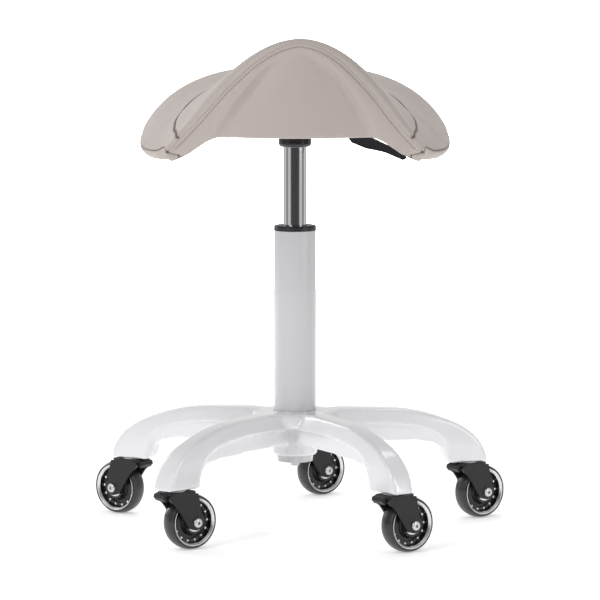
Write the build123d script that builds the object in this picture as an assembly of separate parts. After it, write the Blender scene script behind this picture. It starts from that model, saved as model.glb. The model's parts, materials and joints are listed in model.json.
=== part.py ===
"""Dental saddle stool: sewn saddle seat, gas lift, five-star base and five single-wheel casters.

Frame: millimetres, +Z up, origin on the floor under the column axis, front (pommel) towards -Y.
Each function below makes one piece, or one group of identical pieces, at its place in the stool.
"""
from build123d import *

import os
from math import cos, pi, radians, sin

# ---- driving dimensions: base and casters ----------------------------------------------------
ARM_COUNT = 5
FIRST_ARM_ANGLE = 85.7          # degrees from +X, the arm that points to the rear
STEM_CIRCLE_R = 214.5           # caster stems stand on this circle
ARM_END_Z = 71.0                # mounting height of the casters
ARM_TOP_Z = 142.0               # top of the star at the column
SHELL_WALL = 4.0
HUB_R = 27.0
HUB_BOTTOM_Z = 87.0
WEB_R = 50.0
RIB_HALF = 13.0
SOCKET_R = 8.0
SOCKET_TOP_Z = 99.0

# Arm shell stations: top radius and height, lower radius and height, half widths at top and bottom
ARM_STATIONS = (
    (18.0, 142.0, 18.0, 123.5, 14.0, 27.0),
    (50.0, 142.0, 50.0, 123.5, 13.0, 26.0),
    (82.0, 141.5, 82.0, 124.0, 12.0, 23.5),
    (114.0, 140.0, 112.0, 122.5, 11.5, 21.0),
    (150.0, 135.5, 144.0, 118.5, 11.5, 19.5),
    (184.0, 125.5, 169.0, 110.5, 12.0, 18.5),
    (211.0, 112.5, 181.5, 97.5, 13.0, 18.0),
    (230.5, 92.5, 187.0, 84.0, 13.5, 17.5),
    (238.0, 71.0, 188.5, 71.0, 13.5, 17.0),
)

# ---- driving dimensions: gas lift ------------------------------------------------------------
TUBE_R = 25.0
TUBE_FOOT_R = 21.2
TUBE_WALL = 2.0
TUBE_FOOT_Z = 80.0
TUBE_FLOOR = 4.0
TUBE_TOP_Z = 357.5
CAP_TOP_Z = 363.6
CYLINDER_R = 14.0
CYLINDER_WALL = 1.5
CYLINDER_BOTTOM_Z = 253.0
COLLAR_Z = 457.0                # lower face of the seat's taper socket
CYLINDER_TOP_Z = 480.0
TAPER_TOP_R = 13.6
ROD_R = 5.0
ROD_BOTTOM_Z = 74.0
PISTON_Z = 312.0
RUN_GAP = 0.05                  # radial clearance of every running fit

# ---- driving dimensions: seat mechanism ------------------------------------------------------
PLATE_TOP_Z = 495.2
PLATE_T = 3.0
PLATE_X = 150.0
PLATE_Y = 130.0
BOLT_X = 60.0
BOLT_Y = 50.0
BOLT_R = 4.0
TEE_BARREL_R = 5.5
TEE_FLANGE_R = 10.0
TEE_FLANGE_T = 1.5
TEE_DEPTH = 8.0
SOCKET_OUT_R = 19.6
PIN_R = 3.0
PIN_TOP_Z = 484.2
PIVOT_X = 27.0
PIVOT_Z = 486.5
PIVOT_R = 2.5
LEVER_SLOPE = 25.6              # degrees that the handle hangs below level

# ---- driving dimensions: saddle --------------------------------------------------------------
COVER_T = 2.5
BOARD_T = 10.0
BOARD_TOP_Z = 496.0 + COVER_T + BOARD_T - 0.5    # where the bolts and tee nuts end
BOARD_SETBACK = 20.0            # of the board behind the pommel face
BELOW_BOARD_Z = 480.0
ABOVE_BOARD_Z = 515.0
FRONT_Y = -156.0                # pommel face on the centre line
FRONT_CORNER_X = 150.0
FRONT_CORNER_Y = -122.0
REAR_Y = 184.0
FLAT_HALF = 82.0                # half width of the flat part of the underside
# Each curve is (y, value), joined by straight steps between the lofted sections
HALF_WIDTH = ((-160, 137), (-125, 148), (-90, 163), (-50, 176), (0, 184), (60, 187), (115, 186),
              (150, 176), (172, 152), (184, 118))
CREST_Z = ((-160, 592), (-125, 589), (-90, 580), (-50, 562), (0, 544), (60, 537), (115, 545),
           (150, 547), (172, 536), (184, 512))
EDGE_Z = ((-160, 467), (-125, 463), (-90, 459), (-50, 458), (0, 460), (60, 464), (115, 470),
          (150, 476), (172, 484), (184, 494))
FLOOR_Z = ((-160, 477), (-125, 482), (-75, 496), (120, 496), (150, 494), (172, 491), (184, 488))
SECTION_Y = (-160, -125, -90, -50, 0, 60, 115, 150, 172, 184)
BOARD_SECTION_Y = (-125, -75, 0, 60, 120, 150, 172)

# ---- driving dimensions: caster --------------------------------------------------------------
WHEEL_R = 32.5
TYRE_HALF = 10.5
RIM_R = 28.0
RIM_INNER_R = 25.4
RIM_HALF = 6.8
TRIM_TOP = 9.9                  # outer face of the trim ring, from the wheel centre
TRAIL = 21.0
TRAIL_ANGLE = 37.0              # swivel angle at rest, from +X
MIRRORED_CASTER = 2             # this one trails the other way, with its bolt head turned round
STEM_R = 5.5
STEM_TOP_Z = 96.0
FORK_TOP_Z = 69.3
SHEET = 2.5
FORK_INNER_HALF = 12.2
AXLE_R = 4.0
BEARING_R = 11.0
BEARING_W = 7.0
HUB_HALF = 10.4
WEB_HALF = 2.4
SPOKE_HOLES = 14
SPOKE_HOLE_R = 1.5
SPOKE_HOLE_CIRCLE_R = 22.6

BASE_ALIGN = (Align.CENTER, Align.CENTER, Align.MIN)


# ---- helpers ---------------------------------------------------------------------------------
def disc(radius, bottom, top):
    """Solid cylinder about Z."""
    return Pos(0, 0, bottom) * Cylinder(radius, top - bottom, align=BASE_ALIGN)


def ring(outer, inner, bottom, top):
    """Plain ring about Z."""
    return disc(outer, bottom, top) - disc(inner, bottom, top)


def turned(points):
    """Solid of revolution about Z from (radius, z) points."""
    outline = Polyline([(r, 0, z) for r, z in points], close=True)
    return revolve(make_face(outline), Axis.Z)


def side_plate(points, y_low, y_high):
    """Solid from an outline of (x, z) points, between two Y planes."""
    outline = Polyline([(x, y_low, z) for x, z in points], close=True)
    return extrude(make_face(outline), amount=y_high - y_low, dir=(0, 1, 0))


def across(radius, y_low, y_high, x=0.0, z=0.0):
    """Cylinder along Y through (x, z)."""
    return Pos(x, y_low, z) * Rot(-90, 0, 0) * Cylinder(radius, y_high - y_low, align=BASE_ALIGN)


def curve_value(curve, y):
    """Value of a (y, value) curve, held level past its ends."""
    if y <= curve[0][0]:
        return curve[0][1]
    for (y0, v0), (y1, v1) in zip(curve, curve[1:]):
        if y <= y1:
            return v0 + (v1 - v0) * (y - y0) / (y1 - y0)
    return curve[-1][1]


def arm_angle(index):
    """Direction of arm 1 to 5, in degrees from +X."""
    return FIRST_ARM_ANGLE + 360.0 / ARM_COUNT * (index - 1)


def arm_end(index):
    """Place of the caster stem under arm 1 to 5."""
    angle = radians(arm_angle(index))
    return Pos(STEM_CIRCLE_R * cos(angle), STEM_CIRCLE_R * sin(angle), 0)


def at_arm_ends(piece):
    """The same piece under each of the five arm ends, as separate solids."""
    return Compound(children=[arm_end(i) * piece for i in range(1, ARM_COUNT + 1)])


def group(*pieces):
    """Separate solids kept together in one node."""
    return Compound(children=[solid for piece in pieces for solid in piece.solids()])


# ---- base ------------------------------------------------------------------------------------
def arm_body(inset, drop):
    """Tapering arm along +X that turns down at its end; inset and drop make the hollow inside."""
    sections = []
    for top_r, top_z, low_r, low_z, top_half, low_half in ARM_STATIONS:
        span = ((top_r - low_r) ** 2 + (top_z - low_z) ** 2) ** 0.5
        step_r = (low_r - top_r) / span
        step_z = (low_z - top_z) / span
        high = (top_r + inset * step_r, top_z + inset * step_z)
        low = (low_r + drop * step_r, low_z + drop * step_z)
        corners = [
            (high[0], -top_half + inset / 2, high[1]),
            (high[0], top_half - inset / 2, high[1]),
            (low[0], low_half - inset, low[1]),
            (low[0], -low_half + inset, low[1]),
        ]
        sections.append(make_face(Polyline(corners, close=True)))
    return loft(sections)


def core_rib():
    """Deep rib under the arm that turns down beside the caster socket."""
    points = [(12, 130), (12, 104), (150, 99.5), (170, 97.5), (181, 90), (188, ARM_END_Z),
              (200, ARM_END_Z), (200, 104), (170, 118), (120, 127)]
    return side_plate(points, -RIB_HALF, RIB_HALF)


def star_sector():
    """One arm with its fifth of the hub: a hollow shell, a core rib and a caster boss."""
    boss = Pos(STEM_CIRCLE_R, 0, 0) * disc(SOCKET_R + SHELL_WALL, ARM_END_Z, SOCKET_TOP_Z)
    shell = arm_body(0, 0)
    hollow = arm_body(SHELL_WALL, 4) - Box(2 * WEB_R, 2 * WEB_R, 400)
    arm = (shell - hollow) + core_rib() + (boss & shell)
    arm -= side_plate([(60, 95), (150, 95), (150, 113), (60, 121)], -RIB_HALF + 4, RIB_HALF - 4)
    arm -= Pos(STEM_CIRCLE_R, 0, 0) * disc(SOCKET_R, ARM_END_Z - 1, SOCKET_TOP_Z - 2)
    web = disc(WEB_R, ARM_TOP_Z - 16, ARM_TOP_Z - 1)
    arm += chamfer(web.edges().group_by(Axis.Z)[-1], 5)
    arm += disc(HUB_R, HUB_BOTTOM_Z, ARM_TOP_Z + 0.5)
    reach = 320.0
    half_turn = radians(180.0 / ARM_COUNT)
    wedge = Polyline((0, 0), (reach * cos(half_turn), -reach * sin(half_turn)),
                     (reach * cos(half_turn), reach * sin(half_turn)), close=True)
    return arm & extrude(make_face(wedge), amount=200)


def base_star():
    """One moulding: five hollow arms with core ribs, a webbed hub and five caster bosses."""
    sector = star_sector()
    star = Rot(0, 0, arm_angle(1)) * sector
    for index in range(2, ARM_COUNT + 1):
        star += Rot(0, 0, arm_angle(index)) * sector
    return star - turned([(0, TUBE_FOOT_Z), (TUBE_FOOT_R, TUBE_FOOT_Z), (TUBE_R, ARM_TOP_Z),
                          (TUBE_R, ARM_TOP_Z + 5), (0, ARM_TOP_Z + 5)])


def stem_sockets():
    """Steel sleeves pressed into the arm ends."""
    return at_arm_ends(ring(SOCKET_R, STEM_R, ARM_END_Z, SOCKET_TOP_Z - 2))


def caster_stems():
    """Swivel stems with a rivet head that carries the fork."""
    head = disc(8.0, 64.6, FORK_TOP_Z - SHEET - 0.3)
    stem = disc(STEM_R, 64.6, STEM_TOP_Z - 2)
    tip = Pos(0, 0, STEM_TOP_Z - 2) * Cone(STEM_R, STEM_R - 1.5, 1.8, align=BASE_ALIGN)
    return at_arm_ends(head + stem + tip)


def swivel_races():
    """Bearing races between the arm ends and the forks."""
    race = ring(12.0, STEM_R, FORK_TOP_Z + 0.3, ARM_END_Z)
    return at_arm_ends(chamfer(race.edges().group_by(Axis.Z)[0].sort_by(SortBy.RADIUS)[-1], 0.6))


def column_tube():
    """Outer tube of the gas lift with a tapered foot and a thick floor."""
    inside = TUBE_FOOT_Z + TUBE_FLOOR
    tube = turned([
        (0, TUBE_FOOT_Z), (TUBE_FOOT_R, TUBE_FOOT_Z), (TUBE_R, ARM_TOP_Z), (TUBE_R, TUBE_TOP_Z),
        (TUBE_R - TUBE_WALL, TUBE_TOP_Z), (TUBE_R - TUBE_WALL, ARM_TOP_Z + 10),
        (TUBE_FOOT_R - TUBE_WALL, inside + 10), (TUBE_FOOT_R - TUBE_WALL, inside), (0, inside),
    ])
    return tube - disc(ROD_R + RUN_GAP, TUBE_FOOT_Z - 1, inside + 1)


def column_cap_ring():
    """Black wiper ring on top of the column."""
    cap = ring(TUBE_R + 0.2, CYLINDER_R + 0.3, TUBE_TOP_Z, CAP_TOP_Z)
    return fillet(cap.edges().group_by(Axis.Z)[-1].sort_by(SortBy.RADIUS)[-1], 2.0)


def guide_bush():
    """Long plastic bush that guides the chrome cylinder."""
    bush = ring(TUBE_R - TUBE_WALL, CYLINDER_R + RUN_GAP, 258.0, TUBE_TOP_Z)
    relief = ring(TUBE_R, 19.0, 272.0, 340.0)
    return bush - relief


def thrust_washer_lower():
    """Washer on the floor of the column."""
    return ring(14.0, ROD_R + 0.6, 84.0, 86.0)


def thrust_bearing():
    """Caged balls that the seat turns on: one cage ring with its balls."""
    cage = ring(13.0, 7.0, 86.0, 88.2)
    balls = [Pos(10 * cos(a), 10 * sin(a), 87.5) * Sphere(1.5)
             for a in [2 * pi * i / 12 for i in range(12)]]
    for ball in balls:
        cage += ball
    return cage


# ---- piston rod ------------------------------------------------------------------------------
def piston_rod():
    """Ground rod that stands on the thrust bearing and holds the piston."""
    rod = disc(ROD_R, ROD_BOTTOM_Z, PISTON_Z + 6)
    groove = ring(ROD_R + 1, ROD_R - 1, 77.4, 79.4)
    return rod - groove


def piston():
    """Piston head inside the gas cylinder."""
    head = ring(CYLINDER_R - CYLINDER_WALL - RUN_GAP, ROD_R, PISTON_Z, PISTON_Z + 6)
    nut = disc(8.0, PISTON_Z + 6, PISTON_Z + 11)
    return head + nut


def thrust_washer_upper():
    """Washer that turns with the rod."""
    return ring(14.0, ROD_R, 89.4, 91.4)


def buffer_ring():
    """Rubber buffer that the cylinder lands on at the lowest height."""
    bump = ring(12.0, ROD_R, 91.4, 103.0)
    return fillet(bump.edges().group_by(Axis.Z)[-1].sort_by(SortBy.RADIUS)[-1], 3.0)


def rod_clip():
    """Spring clip in the rod's groove under the column floor."""
    clip = ring(9.0, ROD_R - 1, 77.6, 79.2)
    return clip - Pos(7, 0, 78.4) * Box(8, 5, 4)


# ---- gas cylinder and seat mechanism ---------------------------------------------------------
def gas_cylinder():
    """Chrome cylinder with a tapered head that wedges into the seat's socket."""
    bore = CYLINDER_R - CYLINDER_WALL
    wall = turned([
        (bore, CYLINDER_BOTTOM_Z), (CYLINDER_R, CYLINDER_BOTTOM_Z), (CYLINDER_R, COLLAR_Z),
        (TAPER_TOP_R, CYLINDER_TOP_Z), (0, CYLINDER_TOP_Z), (0, CYLINDER_TOP_Z - 1.5),
        (bore, CYLINDER_TOP_Z - 1.5),
    ])
    return wall - disc(PIN_R + RUN_GAP, CYLINDER_TOP_Z - 3, CYLINDER_TOP_Z + 1)


def cylinder_end_plug():
    """Rod guide and seal that closes the cylinder's lower end."""
    return ring(CYLINDER_R - CYLINDER_WALL, ROD_R + RUN_GAP, CYLINDER_BOTTOM_Z + 1, 265.0)


def valve_body():
    """Valve block in the cylinder's head, bored for the release pin."""
    block = disc(CYLINDER_R - CYLINDER_WALL, 458.0, CYLINDER_TOP_Z - 1.5)
    return block - disc(PIN_R + RUN_GAP, 462.0, CYLINDER_TOP_Z)


def release_pin():
    """Valve pin that lets the gas through when the lever presses it."""
    pin = disc(PIN_R, 466.0, PIN_TOP_Z)
    return fillet(pin.edges().group_by(Axis.Z)[-1], 1.2)


def bolt_places():
    """The four seat bolt positions."""
    return [Pos(sx * BOLT_X, sy * BOLT_Y, 0) for sx in (-1, 1) for sy in (-1, 1)]


def mount_plate():
    """Pressed steel plate with the taper socket and the lever's two ears welded under it."""
    low = PLATE_TOP_Z - PLATE_T
    plate = Pos(0, 0, low) * Box(PLATE_X, PLATE_Y, PLATE_T, align=BASE_ALIGN)
    plate = fillet(plate.edges().filter_by(Axis.Z), 14)
    socket = disc(SOCKET_OUT_R, COLLAR_Z, low)
    socket = fillet(socket.edges().group_by(Axis.Z)[0], 4.0)
    ears = Pos(27.5, 0, 478.5) * Box(19, 18, low - 478.5, align=BASE_ALIGN)
    plate += socket + ears
    plate -= turned([(0, COLLAR_Z - 1), (CYLINDER_R, COLLAR_Z - 1), (CYLINDER_R, COLLAR_Z),
                     (TAPER_TOP_R, CYLINDER_TOP_Z), (TAPER_TOP_R, low), (0, low)])
    plate -= Pos(24, 0, 481) * Box(40, 13, low - 481, align=BASE_ALIGN)
    plate -= Pos(30, 0, 478) * Box(20.5, 13, low - 478, align=BASE_ALIGN)
    plate -= across(PIVOT_R, -12, 12, PIVOT_X, PIVOT_Z)
    for place in bolt_places():
        plate -= place * disc(BOLT_R, low - 1, PLATE_TOP_Z + 1)
    return plate


def lever_pivot_pin():
    """Pin that the lever turns on, held in both ears."""
    return across(PIVOT_R, -10.5, 10.5, PIVOT_X, PIVOT_Z)


def plate_bolts():
    """Four M8 bolts up through the plate and the board."""
    low = PLATE_TOP_Z - PLATE_T
    head = Pos(0, 0, low - 5) * extrude(RegularPolygon(7.2, 6), 5)
    shank = disc(BOLT_R, low, BOARD_TOP_Z)
    return Compound(children=[place * (head + shank) for place in bolt_places()])


def tee_nuts():
    """Four flanged nuts let into the top of the board."""
    barrel = ring(TEE_BARREL_R, BOLT_R, BOARD_TOP_Z - TEE_DEPTH, BOARD_TOP_Z)
    flange = ring(TEE_FLANGE_R, BOLT_R, BOARD_TOP_Z - TEE_FLANGE_T, BOARD_TOP_Z)
    return Compound(children=[place * (barrel + flange) for place in bolt_places()])


def tee_nut_pocket():
    """What one tee nut and its bolt take out of the board, open at the top."""
    barrel = disc(TEE_BARREL_R, BOARD_TOP_Z - TEE_DEPTH, ABOVE_BOARD_Z)
    flange = disc(TEE_FLANGE_R, BOARD_TOP_Z - TEE_FLANGE_T, ABOVE_BOARD_Z)
    return disc(BOLT_R, BELOW_BOARD_Z, ABOVE_BOARD_Z) + barrel + flange


# ---- lever -----------------------------------------------------------------------------------
def handle_line(distance, offset):
    """Point along the handle's hanging centre line; offset is square to it, upwards."""
    angle = radians(-LEVER_SLOPE)
    return (40 + distance * cos(angle) - offset * sin(angle),
            PIVOT_Z - 1.5 + distance * sin(angle) + offset * cos(angle))


def lever_arm():
    """Steel arm: its short end presses the valve pin, its long end carries the handle."""
    points = [(-4, PIVOT_Z - 1.8), (36, PIVOT_Z - 1.8), handle_line(0, -1.8), handle_line(50, -1.8),
              handle_line(50, 1.8), handle_line(0, 1.8), (38, PIVOT_Z + 1.8), (-4, PIVOT_Z + 1.8)]
    arm = side_plate(points, -4, 4) + across(4.5, -5.9, 5.9, PIVOT_X, PIVOT_Z)
    return arm - across(PIVOT_R + 0.06, -7, 7, PIVOT_X, PIVOT_Z)


def lever_handle():
    """Moulded paddle on the end of the arm, thick at its root and thin at its tip."""
    points = [handle_line(24, 6.5), handle_line(98, 6.5), handle_line(101, 3), handle_line(98, -1),
              handle_line(74, -2), handle_line(52, -7.5), handle_line(34, -8.5), handle_line(24, -3)]
    paddle = side_plate(points, -13, 13)
    paddle = fillet(paddle.edges().filter_by(Axis.Y), 1.0)
    return paddle - lever_arm()


# ---- saddle ----------------------------------------------------------------------------------
def underside_points(y, inset):
    """Right half of the underside at one section, from the outer edge to the flat middle."""
    half = curve_value(HALF_WIDTH, y) - inset
    edge = curve_value(EDGE_Z, y)
    low = edge - 12 + inset
    floor = curve_value(FLOOR_Z, y) + inset
    lip = half - 16
    points = [(half, edge), (half - 2.6, edge - 7 + inset / 2), (half - 8, low), (lip, low + 1)]
    for share in (0.3, 0.55, 0.8):
        ease = share * share * (3 - 2 * share)
        points.append((lip + (FLAT_HALF - lip) * share, low + 1 + (floor - low - 1) * ease))
    points.append((FLAT_HALF - 4, floor))
    return points


def top_z(x, y, inset):
    """Height of the saddle's upper surface."""
    half = curve_value(HALF_WIDTH, y) - inset
    crest = curve_value(CREST_Z, y) - inset
    edge = curve_value(EDGE_Z, y)
    rearward = min(1.0, max(0.0, (y + 150) / 280))
    share = min(1.0, abs(x) / half) ** (1.7 + 1.3 * rearward)
    return edge + (crest - edge) * (1 - share) ** (1 - 0.3 * rearward)


def saddle_section(y, inset):
    """Closed cross-section of the saddle at one Y."""
    half = curve_value(HALF_WIDTH, y) - inset
    shares = (0.0, 0.15, 0.32, 0.5, 0.68, 0.83, 0.94)
    top = [(share * half, top_z(share * half, y, inset)) for share in shares]
    right = underside_points(y, inset)
    over = [(half, right[0][1])] + top[:0:-1] + [(-x, z) for x, z in top] + [(-half, right[0][1])]
    edges = [
        Spline([(x, y, z) for x, z in over]),
        Spline([(-x, y, z) for x, z in right]),
        Line((-right[-1][0], y, right[-1][1]), (right[-1][0], y, right[-1][1])),
        Spline([(x, y, z) for x, z in reversed(right)]),
    ]
    return make_face(edges)


def front_prism(offset):
    """Everything behind the curved pommel face, moved back by offset."""
    corner_y = FRONT_CORNER_Y + offset
    arc = ThreePointArc((-FRONT_CORNER_X, corner_y, 400), (0, FRONT_Y + offset, 400),
                        (FRONT_CORNER_X, corner_y, 400))
    back = Polyline((FRONT_CORNER_X, corner_y, 400), (250, corner_y + 20, 400), (250, 260, 400),
                    (-250, 260, 400), (-250, corner_y + 20, 400), (-FRONT_CORNER_X, corner_y, 400))
    return extrude(make_face([arc, back]), amount=240, dir=(0, 0, 1))


def saddle(inset):
    """Whole saddle, or its inside at a given depth under the cover."""
    sections = [saddle_section(min(y, REAR_Y - inset), inset) for y in SECTION_Y]
    return loft(sections) & front_prism(inset)


def underside_z(x, y):
    """Height of the saddle's underside, between the points of its section."""
    points = underside_points(y, 0)[3:]
    inward = [(-px, pz) for px, pz in points]
    return curve_value(inward, -abs(x))


def below_floor(rise, margin, y_first, y_last):
    """Space under a surface that follows the underside at a given rise, inside a margin."""
    sections = []
    for y in (y_first,) + tuple(s for s in BOARD_SECTION_Y if y_first < s < y_last) + (y_last,):
        limit = curve_value(HALF_WIDTH, y) - margin
        right = [(limit * share, underside_z(limit * share, y) + rise)
                 for share in (1.0, 0.92, 0.84, 0.76, 0.68, 0.6, 0.52, 0.45)]
        upper = right + [(-x, z) for x, z in reversed(right)]
        outline = [(x, y, z) for x, z in upper] + [(-limit, y, 420), (limit, y, 420)]
        sections.append(make_face(Polyline(outline, close=True)))
    return loft(sections, ruled=True)


def largest(shape):
    """The one real solid of a cut, without slivers."""
    return shape.solids().sort_by(SortBy.VOLUME)[-1]


def bored(piece, hole):
    """The piece with the same hole at each seat bolt."""
    for place in bolt_places():
        piece -= place * hole
    return piece


def seat_pieces():
    """Board, foam and the sewn cover's panels, cut from two nested saddles."""
    outside = saddle(0)
    inside = saddle(COVER_T)
    board_space = below_floor(COVER_T + BOARD_T, 22, -144, 172) & front_prism(BOARD_SETBACK)
    cloth_space = below_floor(COVER_T + 3, 34, -138, 170)
    cover = outside - inside
    upper_cover = cover - cloth_space
    front = outside - front_prism(6)
    sewing_line = [(y, curve_value(EDGE_Z, y)) for y in SECTION_Y]
    band = Polyline([(0, y, z) for y, z in sewing_line] + [(0, REAR_Y + 5, 420), (0, -165, 420)],
                    close=True)
    band_space = extrude(make_face(band), amount=200, both=True)
    rest = upper_cover - front
    bolt_hole = disc(BOLT_R, BELOW_BOARD_Z, ABOVE_BOARD_Z)
    return {
        "seat_board": bored(largest(inside & board_space), tee_nut_pocket()),
        "seat_foam": largest(inside - board_space),
        "underside_cloth": bored(largest(cover & cloth_space), bolt_hole),
        "front_panel": largest(upper_cover & front),
        "side_band": largest(rest & band_space),
        "top_panel": largest(rest - band_space),
    }


# ---- casters ---------------------------------------------------------------------------------
# A caster is made with its stem on the Z axis and its wheel trailing towards +X.
def caster_place(index):
    """Place and swivel of caster 1 to 5."""
    swivel = 180 - TRAIL_ANGLE if index == MIRRORED_CASTER else TRAIL_ANGLE
    return arm_end(index) * Rot(0, 0, swivel)


def on_axle(piece):
    """Turn a piece made about Z so that it lies on the wheel's axle."""
    return Pos(TRAIL, 0, WHEEL_R) * Rot(-90, 0, 0) * piece


def caster_fork():
    """Pressed steel fork: a top plate with a curled leading lip and two tapering legs."""
    outer = FORK_INNER_HALF + SHEET
    low = FORK_TOP_Z - SHEET
    plate = Pos(2.5, 0, low) * Box(40, 2 * outer, SHEET, align=BASE_ALIGN)
    plate = fillet(plate.edges().filter_by(Axis.Z), 7)
    lip = side_plate([(-17.5, FORK_TOP_Z), (-22.5, 67.6), (-23.5, 64.0), (-20.0, 60.0), (-17.0, 61.0),
                      (-18.0, low), (-12, low), (-12, FORK_TOP_Z)], -10, 10)
    outline = [(-16, low), (-18.5, 63.5), (-15, 59.5), (-9, 55.5), (-5, 50.5), (8.5, 29.5), (13.5, 25.0),
               (TRAIL, 23.3), (27.0, 26.0), (29.0, 32.5), (27.5, 44.5), (23.0, low)]
    legs = side_plate(outline, -outer, outer) - Box(120, 2 * FORK_INNER_HALF, 2 * low)
    roof = Pos(3.0, 0, low - 1.2) * Box(34, 2 * outer, 1.4, align=BASE_ALIGN)
    fork = plate + lip + legs + (roof - Box(120, 2 * FORK_INNER_HALF - 2, 200))
    fork -= disc(STEM_R + RUN_GAP, low - 2, FORK_TOP_Z + 1)
    return fork - across(AXLE_R, -20, 20, TRAIL, WHEEL_R)


def axle_set(side):
    """M8 axle bolt, nut, two spacer washers and the bearing sleeve; side puts the bolt head."""
    outer = FORK_INNER_HALF + SHEET
    shank = disc(AXLE_R, -outer, outer + 7)
    head = fillet(disc(5.6, -outer - 3.6, -outer).edges().group_by(Axis.Z)[0], 2.0)
    head -= Pos(0, 0, -outer - 3.6) * extrude(RegularPolygon(2.3, 6), 2.2)
    nut = Pos(0, 0, outer) * extrude(RegularPolygon(7.5, 6), 6.5)
    nut -= disc(AXLE_R, outer - 1, outer + 8)
    spacers = [ring(6.5, AXLE_R, HUB_HALF + 0.4, FORK_INNER_HALF),
               ring(6.5, AXLE_R, -FORK_INNER_HALF, -HUB_HALF - 0.4)]
    sleeve = ring(5.6, AXLE_R, BEARING_W - HUB_HALF + 0.4, HUB_HALF - BEARING_W - 0.4)
    pieces = group(shank + head, nut, *spacers, sleeve)
    return on_axle(Rot(0 if side > 0 else 180, 0, 0) * pieces)


def wheel_core():
    """Black moulded wheel centre with a ring of small rivet holes through its web."""
    half = [
        (BEARING_R, HUB_HALF), (13.6, HUB_HALF), (14.6, 7.0), (16.5, 4.0), (20.5, WEB_HALF),
        (24.6, WEB_HALF), (RIM_INNER_R, RIM_HALF), (RIM_R, RIM_HALF),
    ]
    core = turned(half + [(r, -z) for r, z in reversed(half)])
    for index in range(SPOKE_HOLES):
        hole = disc(SPOKE_HOLE_R, -10, 10)
        core -= Rot(0, 0, 360 * index / SPOKE_HOLES) * Pos(SPOKE_HOLE_CIRCLE_R, 0, 0) * hole
    lip = HUB_HALF - BEARING_W
    return on_axle(core + ring(BEARING_R, 8.6, -lip, lip))


def wheel_tyre():
    """Polyurethane tyre with a rounded tread."""
    shoulder_r = 30.6
    shoulder = 9.4
    side_r = 29.4
    bore_half = 9.6
    outline = [
        Polyline((shoulder_r, 0, shoulder), (side_r, 0, TYRE_HALF), (RIM_R, 0, bore_half),
                 (RIM_R, 0, -bore_half), (side_r, 0, -TYRE_HALF), (shoulder_r, 0, -shoulder)),
        ThreePointArc((shoulder_r, 0, -shoulder), (WHEEL_R, 0, 0), (shoulder_r, 0, shoulder)),
    ]
    return on_axle(revolve(make_face(outline), Axis.Z))


def wheel_bearings():
    """Two ball bearings with shields, one in each end of the hub."""
    bearing = ring(BEARING_R, AXLE_R + RUN_GAP, HUB_HALF - BEARING_W, HUB_HALF)
    bearing -= ring(9.6, 6.2, HUB_HALF - 0.6, HUB_HALF)
    return on_axle(group(bearing, mirror(bearing, Plane.XY)))


def rim_rings():
    """Bright trim rings on both faces of the rim, and the rivets through the web."""
    trim = turned([(RIM_INNER_R, RIM_HALF), (RIM_R, RIM_HALF), (RIM_R, TRIM_TOP),
                   (RIM_R - 0.6, TRIM_TOP), (RIM_INNER_R, RIM_HALF + 0.8)])
    face = WEB_HALF + 0.3
    rivet = turned([(0, face + 0.6), (0.9, face + 0.4), (SPOKE_HOLE_R, face), (SPOKE_HOLE_R, -face),
                    (0.9, -face - 0.4), (0, -face - 0.6)])
    rivets = [Rot(0, 0, 360 * index / SPOKE_HOLES) * Pos(SPOKE_HOLE_CIRCLE_R, 0, 0) * rivet
              for index in range(SPOKE_HOLES)]
    return on_axle(group(trim, mirror(trim, Plane.XY), *rivets))


def main():
    os.makedirs("parts", exist_ok=True)
    pieces = {
        "base_star": base_star(),
        "stem_sockets": stem_sockets(),
        "caster_stems": caster_stems(),
        "swivel_races": swivel_races(),
        "column_tube": column_tube(),
        "column_cap_ring": column_cap_ring(),
        "guide_bush": guide_bush(),
        "thrust_washer_lower": thrust_washer_lower(),
        "thrust_bearing": thrust_bearing(),
        "piston_rod": piston_rod(),
        "piston": piston(),
        "thrust_washer_upper": thrust_washer_upper(),
        "buffer_ring": buffer_ring(),
        "rod_clip": rod_clip(),
        "gas_cylinder": gas_cylinder(),
        "cylinder_end_plug": cylinder_end_plug(),
        "valve_body": valve_body(),
        "release_pin": release_pin(),
        "mount_plate": mount_plate(),
        "lever_pivot_pin": lever_pivot_pin(),
        "plate_bolts": plate_bolts(),
        "tee_nuts": tee_nuts(),
        "lever_arm": lever_arm(),
        "lever_handle": lever_handle(),
    }
    pieces.update(seat_pieces())
    for index in range(1, ARM_COUNT + 1):
        place = caster_place(index)
        side = -1 if index == MIRRORED_CASTER else 1
        pieces[f"caster_fork_{index}"] = place * caster_fork()
        pieces[f"axle_set_{index}"] = place * axle_set(side)
        pieces[f"wheel_core_{index}"] = place * wheel_core()
        pieces[f"wheel_tyre_{index}"] = place * wheel_tyre()
        pieces[f"wheel_bearings_{index}"] = place * wheel_bearings()
        pieces[f"rim_rings_{index}"] = place * rim_rings()
    for name, piece in pieces.items():
        export_step(piece, f"parts/{name}.step")


if __name__ == "__main__":
    main()
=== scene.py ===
"""Looks of the dental saddle stool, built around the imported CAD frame. Metres, +Z up."""

import json
import math

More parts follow.
